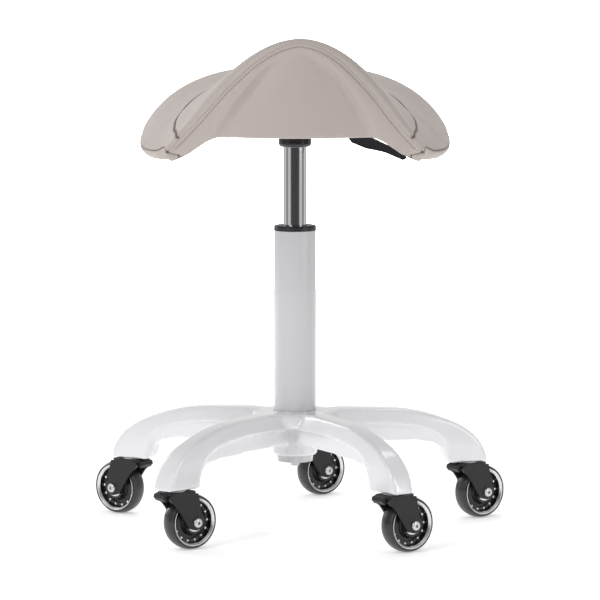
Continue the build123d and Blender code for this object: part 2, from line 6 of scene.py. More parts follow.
import bpy
import numpy as np
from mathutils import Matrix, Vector


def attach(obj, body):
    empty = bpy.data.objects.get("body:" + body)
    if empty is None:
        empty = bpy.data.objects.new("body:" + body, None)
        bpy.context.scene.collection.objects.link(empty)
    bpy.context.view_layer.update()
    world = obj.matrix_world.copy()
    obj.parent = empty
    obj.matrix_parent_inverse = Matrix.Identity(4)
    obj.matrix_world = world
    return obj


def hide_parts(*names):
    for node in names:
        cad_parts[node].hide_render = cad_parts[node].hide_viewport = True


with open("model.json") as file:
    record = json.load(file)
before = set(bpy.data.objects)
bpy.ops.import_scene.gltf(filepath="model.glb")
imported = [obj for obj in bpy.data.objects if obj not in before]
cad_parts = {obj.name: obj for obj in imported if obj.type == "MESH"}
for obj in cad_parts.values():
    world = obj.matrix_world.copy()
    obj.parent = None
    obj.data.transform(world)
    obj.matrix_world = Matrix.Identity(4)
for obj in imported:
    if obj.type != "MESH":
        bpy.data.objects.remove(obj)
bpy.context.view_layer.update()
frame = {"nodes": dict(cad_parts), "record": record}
nodes = frame["nodes"]

# ---- camera, light and floor -----------------------------------------------------------------
CAMERA_DISTANCE = 4.2
CAMERA_HEIGHT = 0.7498
CAMERA_PITCH = 6.47             # degrees below level
CAMERA_LENS = 212.2             # millimetres, as is the sensor's width
SENSOR_WIDTH = 36.0
CAMERA_SHIFT = 0.0083
CAMERA_RANGE = 60.0
BACKDROP_LEVEL = 4.0
# Brightness of the surroundings by direction, from the front (0) through the sides (0.5) to the back
WORLD_BANDS = ((0.0, 0.06), (0.10, 0.07), (0.17, 0.55), (0.30, 0.62), (0.40, 0.22), (0.52, 0.30),
               (0.66, 0.75), (0.80, 0.45), (1.0, 0.85))
# Name, place, height that it aims at on the stool's axis, width and height, watts
LIGHTS = (("key_left", (-2.4, -2.6, 2.2), 0.35, (1.2, 2.2), 58),
          ("fill_right", (2.6, -1.6, 1.2), 0.3, (0.5, 2.0), 17),
          ("rim_left", (-1.9, 1.6, 1.3), 0.3, (0.5, 1.8), 12),
          ("top_back", (0.3, 1.4, 3.0), 0.4, (2.0, 1.2), 20))
FLOOR_R = 2.6
FLOOR_SIDES = 96
FLOOR_SHADE = 0.93
FLOOR_GLOW = 0.40               # lifts the floor towards the white of the surroundings


def add_camera():
    data = bpy.data.cameras.new("studio_camera")
    data.lens = CAMERA_LENS
    data.sensor_width = SENSOR_WIDTH
    data.shift_x = CAMERA_SHIFT
    data.clip_end = CAMERA_RANGE
    camera = bpy.data.objects.new("studio_camera", data)
    camera.location = (0.0, -CAMERA_DISTANCE, CAMERA_HEIGHT)
    camera.rotation_euler = (math.radians(90.0 - CAMERA_PITCH), 0.0, 0.0)
    bpy.context.scene.collection.objects.link(camera)
    bpy.context.scene.camera = camera


def add_area_light(name, place, aim_height, size, power):
    data = bpy.data.lights.new(name, "AREA")
    data.shape = "RECTANGLE"
    data.size, data.size_y = size
    data.energy = power
    light = bpy.data.objects.new(name, data)
    light.location = place
    direction = Vector((0, 0, aim_height)) - Vector(place)
    light.rotation_euler = direction.to_track_quat("-Z", "Y").to_euler()
    bpy.context.scene.collection.objects.link(light)


def add_world():
    """White to the camera. Light comes from the sides and back, with a darker front, as in a studio."""
    world = bpy.data.worlds.new("studio_world")
    bpy.context.scene.world = world
    world.use_nodes = True
    tree = world.node_tree
    background = tree.nodes["Background"]
    background.inputs["Color"].default_value = (1.0, 1.0, 1.0, 1.0)
    place = tree.nodes.new("ShaderNodeTexCoord")
    axes = tree.nodes.new("ShaderNodeSeparateXYZ")
    tree.links.new(place.outputs["Generated"], axes.inputs["Vector"])
    span = tree.nodes.new("ShaderNodeMapRange")
    span.inputs["From Min"].default_value = -1.0
    tree.links.new(axes.outputs["Y"], span.inputs["Value"])
    bands = tree.nodes.new("ShaderNodeValToRGB")
    stops = bands.color_ramp.elements
    stops[0].position, stops[1].position = WORLD_BANDS[0][0], WORLD_BANDS[-1][0]
    for position, _ in WORLD_BANDS[1:-1]:
        stops.new(position)
    for stop, (_, level) in zip(stops, WORLD_BANDS):
        stop.color = (level, level, level, 1.0)
    tree.links.new(span.outputs["Result"], bands.inputs["Fac"])
    path = tree.nodes.new("ShaderNodeLightPath")
    choice = tree.nodes.new("ShaderNodeMix")
    tree.links.new(path.outputs["Is Camera Ray"], choice.inputs[0])
    tree.links.new(bands.outputs["Color"], choice.inputs[2])
    choice.inputs[3].default_value = BACKDROP_LEVEL
    tree.links.new(choice.outputs[0], background.inputs["Strength"])


def add_floor():
    """Plain pale floor."""
    mesh = bpy.data.meshes.new("studio_floor")
    turns = [2 * math.pi * side / FLOOR_SIDES for side in range(FLOOR_SIDES)]
    mesh.from_pydata([(FLOOR_R * math.cos(turn), FLOOR_R * math.sin(turn), 0) for turn in turns], [],
                     [tuple(range(FLOOR_SIDES))])
    floor = bpy.data.objects.new("studio_floor", mesh)
    bpy.context.scene.collection.objects.link(floor)
    paint = bpy.data.materials.new("floor_paint")
    paint.use_nodes = True
    shader = paint.node_tree.nodes["Principled BSDF"]
    shader.inputs["Base Color"].default_value = (FLOOR_SHADE, FLOOR_SHADE, FLOOR_SHADE, 1)
    shader.inputs["Roughness"].default_value = 0.95
    shader.inputs["Specular IOR Level"].default_value = 0.0
    shader.inputs["Emission Color"].default_value = (1, 1, 1, 1)
    shader.inputs["Emission Strength"].default_value = FLOOR_GLOW
    mesh.materials.append(paint)


def add_studio():
    bpy.context.scene.view_settings.view_transform = "Standard"
    add_world()
    for light in LIGHTS:
        add_area_light(*light)
    add_floor()


add_camera()
add_studio()


# ---- material helpers ------------------------------------------------------------------------
class Finish:
    """A principled material with short calls for its nodes."""

    def __init__(self, name, colour, roughness, metallic=0.0, **sockets):
        self.material = bpy.data.materials.new(name)
        self.material.use_nodes = True
        self.tree = self.material.node_tree
        self.shader = self.tree.nodes["Principled BSDF"]
        self.colour = tuple(colour)
        self.shader.inputs["Base Color"].default_value = (*colour, 1.0)
        self.shader.inputs["Roughness"].default_value = roughness
        self.shader.inputs["Metallic"].default_value = metallic
        for socket, value in sockets.items():
            self.shader.inputs[socket.replace("_", " ")].default_value = value
        self.place = self.add("ShaderNodeNewGeometry").outputs["Position"]
        self.normal = None

    def add(self, kind, **values):
        node = self.tree.nodes.new(kind)
        for key, value in values.items():
            setattr(node, key, value)
        return node

    def link(self, source, target):
        self.tree.links.new(source, target)

    def noise(self, scale, detail=3.0, stretch=None):
        node = self.add("ShaderNodeTexNoise")
        node.inputs["Scale"].default_value = scale
        node.inputs["Detail"].default_value = detail
        self.link(self.stretched(stretch), node.inputs["Vector"])
        return node.outputs["Fac"]

    def stretched(self, stretch):
        if stretch is None:
            return self.place
        mapping = self.add("ShaderNodeMapping")
        mapping.inputs["Scale"].default_value = stretch
        self.link(self.place, mapping.inputs["Vector"])
        return mapping.outputs["Vector"]

    def cells(self, scale):
        node = self.add("ShaderNodeTexVoronoi")
        node.inputs["Scale"].default_value = scale
        self.link(self.place, node.inputs["Vector"])
        return node.outputs["Distance"]

    def ramp(self, source, low, high, out_low, out_high):
        node = self.add("ShaderNodeMapRange")
        for socket, value in (("From Min", low), ("From Max", high), ("To Min", out_low),
                              ("To Max", out_high)):
            node.inputs[socket].default_value = value
        self.link(source, node.inputs["Value"])
        return node.outputs["Result"]

    def tint(self, source, other):
        """Mix the base colour towards another colour by a 0 to 1 source."""
        mix = self.add("ShaderNodeMix", data_type="RGBA")
        before = self.shader.inputs["Base Color"].links
        if before:
            self.link(before[0].from_socket, mix.inputs[6])
        else:
            mix.inputs[6].default_value = (*self.colour, 1.0)
        mix.inputs[7].default_value = (*other, 1.0)
        self.link(source, mix.inputs[0])
        self.link(mix.outputs[2], self.shader.inputs["Base Color"])

    def mottle(self, source, low, high, share, other):
        """Tint by up to a share towards another colour, as the source goes from low to high."""
        self.tint(self.ramp(source, low, high, 0.0, share), other)

    def rough(self, source, low, high):
        """Roughness that wanders between two values."""
        self.link(self.ramp(source, 0.3, 0.7, low, high), self.shader.inputs["Roughness"])

    def bump(self, source, strength, distance):
        node = self.add("ShaderNodeBump")
        node.inputs["Strength"].default_value = strength
        node.inputs["Distance"].default_value = distance
        self.link(source, node.inputs["Height"])
        if self.normal is not None:
            self.link(self.normal, node.inputs["Normal"])
        self.normal = node.outputs["Normal"]
        self.link(self.normal, self.shader.inputs["Normal"])

    def attribute(self, name):
        return self.add("ShaderNodeAttribute", attribute_name=name).outputs["Fac"]


def scaled(colour, factor):
    return tuple(min(1.0, c * factor) for c in colour)


LEATHER = (0.500, 0.441, 0.412)
SEAM_SHADE = (0.13, 0.085, 0.06)


def leather_finish():
    """Artificial leather: fine pebble grain, soft gloss, and painted shade in the seams and darts."""
    finish = Finish("taupe_leather", LEATHER, 0.46, Specular_IOR_Level=0.42)
    finish.mottle(finish.noise(9.0), 0.35, 0.7, 0.5, scaled(LEATHER, 0.93))
    finish.mottle(finish.noise(420.0), 0.4, 0.75, 0.35, scaled(LEATHER, 0.86))
    # painted shade: the leather darkens towards dark brown where the mesh's seam value is high, along the
    # seams and darts
    finish.tint(finish.attribute("seam"), SEAM_SHADE)
    finish.rough(finish.noise(60.0), 0.40, 0.54)
    finish.bump(finish.cells(1500.0), strength=0.16, distance=0.00035)
    finish.bump(finish.noise(180.0, detail=4.0), strength=0.10, distance=0.0006)
    return finish.material


def white_finish(name, level):
    """Gloss white enamel with a faint orange peel."""
    colour = (level, level, level * 1.03)
    finish = Finish(name, colour, 0.2, Coat_Weight=0.6, Coat_Roughness=0.06)
    finish.mottle(finish.noise(6.0), 0.4, 0.7, 0.4, scaled(colour, 0.95))
    finish.rough(finish.noise(35.0), 0.16, 0.26)
    finish.bump(finish.noise(260.0, detail=2.0), strength=0.05, distance=0.0004)
    return finish.material


def metal_finish(name, colour, roughness, brush=None, spread=0.08):
    """Bare or plated metal with fine brushing or polish marks."""
    finish = Finish(name, colour, roughness, metallic=1.0)
    grain = finish.noise(40.0, detail=4.0, stretch=brush)
    finish.rough(grain, roughness, roughness + spread)
    finish.mottle(grain, 0.4, 0.7, 0.4, scaled(colour, 0.86))
    finish.bump(grain, strength=0.03, distance=0.0002)
    return finish.material


def plastic_finish(name, colour, roughness, grain=900.0, depth=0.12, **sockets):
    """Moulded plastic or paint with a fine spark-eroded texture."""
    finish = Finish(name, colour, roughness, **sockets)
    finish.mottle(finish.noise(14.0), 0.35, 0.7, 0.6, scaled(colour, 1.35))
    finish.rough(finish.noise(50.0), roughness - 0.05, roughness + 0.08)
    finish.bump(finish.noise(grain, detail=2.0), strength=depth, distance=0.0003)
    return finish.material


def wood_finish():
    """Plywood: long grain with darker veins."""
    finish = Finish("plywood", (0.55, 0.40, 0.25), 0.6)
    finish.mottle(finish.noise(30.0, detail=6.0, stretch=(1, 0.06, 4)), 0.4, 0.65, 1.0, (0.40, 0.27, 0.15))
    finish.bump(finish.noise(60.0, detail=5.0, stretch=(1, 0.05, 4)), strength=0.2, distance=0.0004)
    return finish.material


def foam_finish():
    """Moulded foam skin with open pores."""
    finish = Finish("moulded_foam", (0.78, 0.73, 0.58), 0.85)
    finish.mottle(finish.cells(320.0), 0.0, 0.5, 1.0, (0.66, 0.60, 0.45))
    finish.bump(finish.cells(520.0), strength=0.5, distance=0.0006)
    return finish.material


def cloth_finish():
    """Black non-woven dust cloth: pressed fibres in a dotted bond pattern."""
    finish = Finish("dust_cloth", (0.022, 0.022, 0.024), 0.9, Sheen_Weight=0.2)
    finish.mottle(finish.noise(700.0, detail=4.0, stretch=(1, 3, 1)), 0.4, 0.7, 1.0, (0.05, 0.05, 0.052))
    finish.bump(finish.cells(480.0), strength=0.4, distance=0.0005)
    return finish.material


def thread_finish():
    """Twisted sewing thread, a little lighter than the leather."""
    finish = Finish("sewing_thread", (0.56, 0.49, 0.45), 0.55, Sheen_Weight=0.1)
    finish.mottle(finish.noise(900.0), 0.4, 0.6, 1.0, (0.40, 0.33, 0.29))
    finish.bump(finish.noise(2600.0, detail=1.0, stretch=(4, 1, 1)), strength=0.5, distance=0.0002)
    return finish.material


MATERIALS = {
    "leather": leather_finish(),
    "white": white_finish("white_enamel", 0.82),
    # a darker copy of the white enamel for the column: painted shade
    "column_white_shaded": white_finish("column_enamel_shaded", 0.61),
    "chrome": metal_finish("chrome", (0.80, 0.80, 0.82), 0.035, brush=(1, 1, 0.1), spread=0.03),
    "trim": metal_finish("trim_chrome", (0.93, 0.93, 0.94), 0.30),
    "steel": metal_finish("zinc_steel", (0.62, 0.62, 0.63), 0.28),
    "bearing": metal_finish("bearing_steel", (0.72, 0.72, 0.73), 0.18),
    "black_enamel": plastic_finish("black_enamel", (0.010, 0.010, 0.016), 0.28, grain=300.0,
                                   depth=0.06, Coat_Weight=0.3),
    "fork": plastic_finish("fork_enamel", (0.019, 0.019, 0.020), 0.46, grain=420.0, depth=0.08,
                           Specular_IOR_Level=0.3),
    "black_plastic": plastic_finish("black_plastic", (0.008, 0.008, 0.014), 0.36),
    "wheel_plastic": plastic_finish("wheel_plastic", (0.010, 0.010, 0.012), 0.22, grain=700.0,
                                    depth=0.05),
    "tyre": plastic_finish("tyre_urethane", (0.014, 0.014, 0.015), 0.30, grain=160.0, depth=0.05,
                           Coat_Weight=0.15, Coat_Roughness=0.12),
    "white_plastic": plastic_finish("acetal", (0.70, 0.70, 0.68), 0.4),
    "rubber": plastic_finish("buffer_rubber", (0.020, 0.020, 0.020), 0.7),
    "plywood": wood_finish(),
    "foam": foam_finish(),
    "cloth": cloth_finish(),
    "thread": thread_finish(),
    # dark brown of the needle holes: painted shade inside the holes
    "needle_hole_shade": plastic_finish("needle_hole_shade", (0.20, 0.155, 0.13), 0.8),
}

# Material for each slot of the record
SLOT_MATERIAL = {
    "white_enamel": "white", "chrome": "chrome", "black_enamel": "black_enamel",
    "fork_enamel": "fork", "black_plastic": "black_plastic", "wheel_plastic": "wheel_plastic",
    "grey_plastic": "white_plastic", "steel": "steel", "bearing_steel": "bearing",
    "trim_chrome": "trim", "rubber": "rubber", "tyre": "tyre", "plywood": "plywood",
    "foam": "foam", "dust_cloth": "cloth", "upholstery": "leather",
}


def dress_cad_nodes():
    """Give every CAD node its material."""
    slots = {entry["node"]: entry["material_slot"] for entry in frame["record"]["subparts"]}
    for name, node in nodes.items():
        # the column takes the darker copy of the white enamel, as painted shade
        material = MATERIALS["column_white_shaded" if name == "column_tube" else SLOT_MATERIAL[slots[name]]]
        if not node.material_slots:
            node.data.materials.append(material)
        for entry in node.material_slots:
            entry.material = material


dress_cad_nodes()


# ---- mesh helpers ----------------------------------------------------------------------------
def new_piece(name, points, faces, material, body, replaced=(), seam=None):
    """A mesh piece that rides on a body."""
    mesh = bpy.data.meshes.new(name)
    mesh.from_pydata([tuple(map(float, p)) for p in np.asarray(points, dtype=float)], [], faces)
    mesh.materials.append(MATERIALS[material])
    mesh.polygons.foreach_set("use_smooth", [True] * len(mesh.polygons))
    # seam: how much painted shade the leather takes at each point, kept as a mesh value
    if seam is not None:
        layer = mesh.attributes.new("seam", "FLOAT", "POINT")
        layer.data.foreach_set("value", np.asarray(seam, dtype=np.float32).ravel())
    mesh.update()
    piece = bpy.data.objects.new(name, mesh)
    bpy.context.scene.collection.objects.link(piece)
    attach(piece, body)
    if replaced:
        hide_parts(*replaced)
    return piece


def grid_faces(rows, columns, first=0, flip=False, wrap=False):
    """Quads of a grid of vertices stored row by row; wrap joins the last column to the first."""
    faces = []
    for row in range(rows - 1):
        for column in range(columns if wrap else columns - 1):
            after = (column + 1) % columns
            a = first + row * columns + column
            b = first + row * columns + after
            quad = (a, b, b + columns, a + columns)
            faces.append(quad[::-1] if flip else quad)
    return faces


def grid_normals(grid):
    """Unit normals of a (rows, columns, 3) grid."""
    along = np.gradient(grid, axis=1)
    down = np.gradient(grid, axis=0)
    normals = np.cross(along, down)
    return normals / np.maximum(np.linalg.norm(normals, axis=2, keepdims=True), 1e-12)


def smooth_curve(knots):
    """Shape-preserving curve through (t, value) knots, held level past its ends."""
    t = np.array([k[0] for k in knots], dtype=float)
    v = np.array([k[1] for k in knots], dtype=float)
    step = np.diff(t)
    slope = np.diff(v) / step
    tangent = np.zeros(len(t))
    for i in range(1, len(t) - 1):
        if slope[i - 1] * slope[i] > 0:
            tangent[i] = 2 * slope[i - 1] * slope[i] / (slope[i - 1] + slope[i])
    tangent[0], tangent[-1] = slope[0], slope[-1]

    def value(at):
        at = np.clip(np.asarray(at, dtype=float), t[0], t[-1])
        i = np.clip(np.searchsorted(t, at) - 1, 0, len(t) - 2)
        s = (at - t[i]) / step[i]
        return ((2 * s**3 - 3 * s**2 + 1) * v[i] + (s**3 - 2 * s**2 + s) * step[i] * tangent[i]
                + (3 * s**2 - 2 * s**3) * v[i + 1] + (s**3 - s**2) * step[i] * tangent[i + 1])
    return value


def bell(distance, width):
    """Bell of height 1 at distance 0."""
    return np.exp(-(distance / width) ** 2)


# ---- saddle surfaces -------------------------------------------------------------------------
# Curves along the saddle: (y, value), with y from the pommel (negative) to the rear
half_width = smooth_curve([(-0.160, 0.138), (-0.125, 0.1485), (-0.09, 0.163), (-0.05, 0.176),
                           (0.0, 0.184), (0.06, 0.1865), (0.115, 0.185), (0.150, 0.174),
                           (0.172, 0.151), (0.184, 0.118)])
crest_z = smooth_curve([(-0.160, 0.592), (-0.125, 0.589), (-0.09, 0.579), (-0.05, 0.561),
                        (0.0, 0.544), (0.06, 0.538), (0.115, 0.545), (0.150, 0.549), (0.19, 0.549)])
edge_z = smooth_curve([(-0.160, 0.467), (-0.125, 0.4635), (-0.09, 0.459), (-0.05, 0.458),
                       (0.0, 0.460), (0.06, 0.464), (0.115, 0.470), (0.150, 0.476), (0.184, 0.487)])
floor_z = smooth_curve([(-0.160, 0.477), (-0.125, 0.482), (-0.075, 0.4965), (0.120, 0.4965),
                        (0.150, 0.494), (0.184, 0.488)])
swell_power = smooth_curve([(-0.155, 1.03), (-0.09, 1.2), (-0.03, 1.2), (0.0, 1.06), (0.04, 0.95),
                            (0.09, 0.80), (0.13, 0.70)])
dart_x = smooth_curve([(-0.16, 0.1355), (-0.125, 0.1375), (-0.09, 0.1410), (-0.07, 0.1405),
                       (-0.03, 0.1330), (0.0, 0.1215), (0.03, 0.1060), (0.06, 0.092), (0.19, 0.070)])

# Curves across the pommel: (distance from the middle, value)
ridge_roll = smooth_curve([(0.0, 0.0048), (0.05, 0.009), (0.08, 0.011), (0.112, 0.0105),
                           (0.133, 0.0075), (0.150, 0.0035)])
valley_reach = smooth_curve([(0.0, 0.012), (0.05, 0.022), (0.09, 0.030), (0.14, 0.034)])
front_floor_z = smooth_curve([(0.0, 0.4795), (0.088, 0.4795), (0.100, 0.4755), (0.113, 0.467),
                              (0.126, 0.4585), (0.138, 0.4550)])

# Depth of the front panel by its distance below the seam, in valley reaches
valley_depth = smooth_curve([(0.0, 0.0), (0.28, -0.0014), (0.52, -0.0006), (0.80, 0.0062), (1.0, 0.0084),
                             (1.3, 0.0072), (2.1, 0.0042), (5.0, 0.0026), (12.0, 0.0022)])

FRONT_Y = -0.156
FRONT_BOW = 0.034 / 0.150 ** 2   # the pommel face curves back towards its corners
REAR_Y = 0.184
REAR_ROLL_Y = 0.118             # the upper surface rolls over from here to the rear
REAR_ROLL_START = 3.0           # power: the higher, the later the roll starts
REAR_ROLL_END = 0.55            # power: the lower, the rounder it ends
SIDE_POWER = 2.0                # power of the fall to the side seams, at the pommel
SIDE_POWER_GAIN = 0.9           # added to that over the length below
SIDE_GAIN_Y = -0.150
SIDE_GAIN_LENGTH = 0.280
LIP_INSET = 0.016               # from the side seam in to the wings' lip
LIP_DROP = 0.011
FLAT_HALF = 0.082               # half width of the underside's flat middle
POMMEL_LEAN = 0.006
LEAN_Y = -0.01                  # the lean grows frontward from here
LEAN_LENGTH = 0.12
LEAN_Z = 0.470                  # and upward from here
LEAN_HEIGHT = 0.122


def eased(share):
    """Smooth step of a share, held at 0 and 1 outside that range."""
    share = np.clip(share, 0, 1)
    return share * share * (3 - 2 * share)


def settled(points):
    """Points with the pommel's top leaning a little to the right, as the sewn cover pulls it."""
    points = np.array(points, dtype=float)
    frontward = eased((LEAN_Y - points[..., 1]) / LEAN_LENGTH)
    upward = np.clip((points[..., 2] - LEAN_Z) / LEAN_HEIGHT, 0, 1)
    points[..., 0] += POMMEL_LEAN * frontward * upward
    return points


def front_y(x):
    return FRONT_Y + FRONT_BOW * np.asarray(x) ** 2


def top_surface(x, y):
    """Height of the saddle's upper surface, rolled over at the rear."""
    rearward = np.clip((y - SIDE_GAIN_Y) / SIDE_GAIN_LENGTH, 0, 1)
    share = np.clip(np.abs(x) / half_width(y), 0, 1) ** (SIDE_POWER + SIDE_POWER_GAIN * rearward)
    back = np.clip((y - REAR_ROLL_Y) / (REAR_Y - REAR_ROLL_Y), 0, 1)
    swell = (1 - share) ** swell_power(y) * (1 - back ** REAR_ROLL_START) ** REAR_ROLL_END
    return edge_z(y) + (crest_z(y) - edge_z(y)) * swell


def underside(x, y):
    """Height of the saddle's lower surface, from the wings' lip to the flat middle."""
    lip = half_width(y) - LIP_INSET
    low = edge_z(y) - LIP_DROP
    share = (lip - np.abs(x)) / np.maximum(lip - FLAT_HALF, 1e-4)
    return low + (floor_z(y) - low) * eased(share)


# ---- grid of the upper surface ---------------------------------------------------------------
DART_COLUMN = 0.62              # share of the grid's half width that the dart follows
DART_STEPS = (0.0, 0.006, 0.012, 0.018, 0.026, 0.036, 0.05, 0.07)   # columns beside a dart
SEAM_STEPS = (0.03, 0.018, 0.009, 0.004, 0.0)                       # columns beside a side seam
MIDDLE_COLUMNS = 34             # even columns from the middle to the dart's own
MIDDLE_END = DART_COLUMN - 0.09
WING_COLUMNS = 9                # even columns from the dart's own to the side seam's
WING_START = DART_COLUMN + 0.10
WING_END = 1 - 0.05
RIDGE_GUESS_Y = -0.140
RIDGE_ROUNDS = 12               # enough for the ridge's columns to settle
SLOPE_STEP = 0.0005
STEEPEST = 2.2                  # largest slope that the front roll follows
ROLL_ANGLES = (90, 86, 82, 76, 68, 58, 47, 36, 25, 14, 4)
ROW_SHARES = np.concatenate([np.linspace(0.012, 0.86, 92), np.linspace(0.868, 1.0, 26)])
RIDGE_BLEND = 0.10              # share of the length over which columns leave the ridge's places
FORWARD = np.array([0, -1, 0])


def grid_columns():
    """Column values from -1 to 1, close together beside the darts and the side seams."""
    near = np.array(DART_STEPS)
    middle = np.concatenate([np.linspace(0, MIDDLE_END, MIDDLE_COLUMNS), (DART_COLUMN - near)[:0:-1]])
    side = np.concatenate([DART_COLUMN + near, np.linspace(WING_START, WING_END, WING_COLUMNS),
                           1 - np.array(SEAM_STEPS)])
    right = np.concatenate([middle, side])
    return np.concatenate([-right[:0:-1], right])


COLUMNS = grid_columns()


def spread_x(column, y):
    """X of a grid column at one Y: the dart's column follows the dart."""
    inner = dart_x(y) * np.abs(column) / DART_COLUMN
    outer = dart_x(y) + (half_width(y) - dart_x(y)) * (np.abs(column) - DART_COLUMN) / (1 - DART_COLUMN)
    return np.sign(column) * np.where(np.abs(column) <= DART_COLUMN, inner, outer)


def ridge_line():
    """Front ridge of the saddle: places, the roll's inward direction and its radius by column."""
    reach = np.full(len(COLUMNS), RIDGE_GUESS_Y)
    for _ in range(RIDGE_ROUNDS):
        x = spread_x(COLUMNS, reach)
        reach = front_y(x)
    roll = ridge_roll(np.abs(x))
    start = reach + roll
    x = spread_x(COLUMNS, start)
    rise = top_surface(x + SLOPE_STEP, start) - top_surface(x - SLOPE_STEP, start)
    slope = np.clip(rise / (2 * SLOPE_STEP), -STEEPEST, STEEPEST)
    length = np.sqrt(1 + slope ** 2)
    inward = np.stack([slope / length, np.zeros_like(x), -1 / length], axis=1)
    place = np.stack([x, start, top_surface(x, start)], axis=1)
    return place, inward, roll


def top_grid():
    """Upper surface from the front seam, over the ridge, to the rear seam."""
    place, inward, roll = ridge_line()
    rows = []
    for angle in np.radians(ROLL_ANGLES):
        turn = (1 - math.cos(angle)) * inward + math.sin(angle) * FORWARD
        rows.append(place + roll[:, None] * turn)
    for share in ROW_SHARES:
        y = place[:, 1] + (REAR_Y - place[:, 1]) * share
        x = place[:, 0] + (spread_x(COLUMNS, y) - place[:, 0]) * eased(share / RIDGE_BLEND)
        rows.append(np.stack([x, y, top_surface(x, y)], axis=1))
    return np.array(rows)


# ---- sewing ----------------------------------------------------------------------------------
EDGE_TUCK = (0.0002, 0.0009)    # depth and width of the pull at a panel's edge
DART_TUCK = (0.0018, 0.0014)    # and at a dart
PUFF_DEPTH = 0.0005             # the cover stands up a little beside a seam
PUFF_PLACE = 0.0048
PUFF_WIDTH = 0.003
DART_END_Y = 0.040
DART_FADE = 0.012
DART_START = 0.004              # length over which a dart deepens behind the front seam
DART_SHADE_WIDTH = 0.0015             # width of the painted shade along a dart at the front
DART_WIDENING = 0.0013          # and what it gains rearward, over the length below
DART_WIDENING_Y = -0.09
DART_WIDENING_LENGTH = 0.10
# strength of the painted shade along a dart
DART_SHADE_STRENGTH = 2.2
SIDE_SEAM_SHADE = (0.75, 0.0013)      # strength and width of the painted shade along the top panel's side seams
# painted shade along the rear seam
HEEL_SEAM_SHADE = 0.8
# strength and width of the painted shade along the front panel's side seams
FRONT_SIDE_SEAM_SHADE = (0.7, 0.0011)
ALLOWANCE = 0.004               # cover turned in behind a seam
TOP_TURN = (0.975, (0, 0, -0.001))        # narrowing and shift of the column behind a side seam
FRONT_TURN = (0.992, (0, 0.006, 0.001))


def arc_lengths(line):
    """Distance along a polyline at each of its points."""
    return np.concatenate([[0], np.cumsum(np.linalg.norm(np.diff(line, axis=0), axis=1))])


def walked(grid, axis):
    """Distance across a grid from its first row (axis 0) or its first column (axis 1)."""
    steps = np.linalg.norm(np.diff(grid, axis=axis), axis=2)
    start = np.zeros_like(np.take(steps, [0], axis=axis))
    return np.concatenate([start, np.cumsum(steps, axis=axis)], axis=axis)


def point_along(line, lengths, spots):
    """Places on a polyline at one or more distances along it."""
    return np.stack([np.interp(spots, lengths, line[:, k]) for k in range(3)], axis=-1)


def seam_tuck(distance, depth, width):
    """How far a panel is pulled in at a seam, by distance from it."""
    return depth * bell(distance, width) - PUFF_DEPTH * bell(distance - PUFF_PLACE, PUFF_WIDTH)


def seam_painted_shade(distance, darkness, width):
    """How much painted shade a panel gets beside a seam."""
    return darkness * bell(distance, width)


def with_turned_sides(grid, narrowing, shift):
    """A grid with one more column at each side, turned in behind the seam."""
    turned = np.array([narrowing, 1, 1])
    return np.concatenate([grid[:, :1] * turned + shift, grid, grid[:, -1:] * turned + shift], axis=1)


def sewn_panel(name, grid, seam, replaced, flip=False):
    """A leather panel of the cover, in place of one CAD panel."""
    rows, columns = seam.shape
    new_piece(name, settled(grid).reshape(-1, 3), grid_faces(rows, columns, flip=flip), "leather",
              "seat", [replaced], seam)


def top_panel():
    """Upper cover panel with its two darts; its edges are pulled into the seams around it."""
    grid = top_grid()
    normals = grid_normals(grid)
    from_front = walked(grid, 0)
    from_left = walked(grid, 1)
    sides = np.minimum(from_left, from_left[:, -1:] - from_left)
    sewn = np.minimum(from_front[-1] - from_front, sides)
    tuck = seam_tuck(np.minimum(from_front, sewn), *EDGE_TUCK)
    # painted shade along the side seams, then along the darts
    seam = seam_painted_shade(sewn, *SIDE_SEAM_SHADE)
    for sign in (-1, 1):
        dart = int(np.argmin(np.abs(COLUMNS - sign * DART_COLUMN)))
        y = grid[:, dart, 1]
        beside = np.abs(from_left - from_left[:, dart:dart + 1])
        fade = eased((DART_END_Y - y) / DART_FADE) * np.clip(from_front[:, dart] / DART_START, 0, 1)
        width = DART_SHADE_WIDTH + DART_WIDENING * np.clip((y - DART_WIDENING_Y) / DART_WIDENING_LENGTH, 0, 1)
        # painted shade along the dart
        dark = np.minimum(1.0, DART_SHADE_STRENGTH * bell(beside, width[:, None]))
        tuck = tuck + fade[:, None] * seam_tuck(beside, *DART_TUCK)
        seam = np.maximum(seam, fade[:, None] * dark)
    grid = grid - normals * tuck[:, :, None]
    lip = grid[[0]] - normals[[0]] * ALLOWANCE
    heel = grid[[-1]] - normals[[-1]] * ALLOWANCE
    grid = with_turned_sides(np.concatenate([lip, grid, heel]), *TOP_TURN)
    # painted shade along the rear seam and in the turned-in sides
    seam = np.concatenate([seam[[0]], seam, np.full_like(seam[[-1]], HEEL_SEAM_SHADE)])
    seam = np.pad(seam, ((0, 0), (1, 1)), constant_values=1.0)
    sewn_panel("saddle_top_panel", grid, seam, "top_panel")


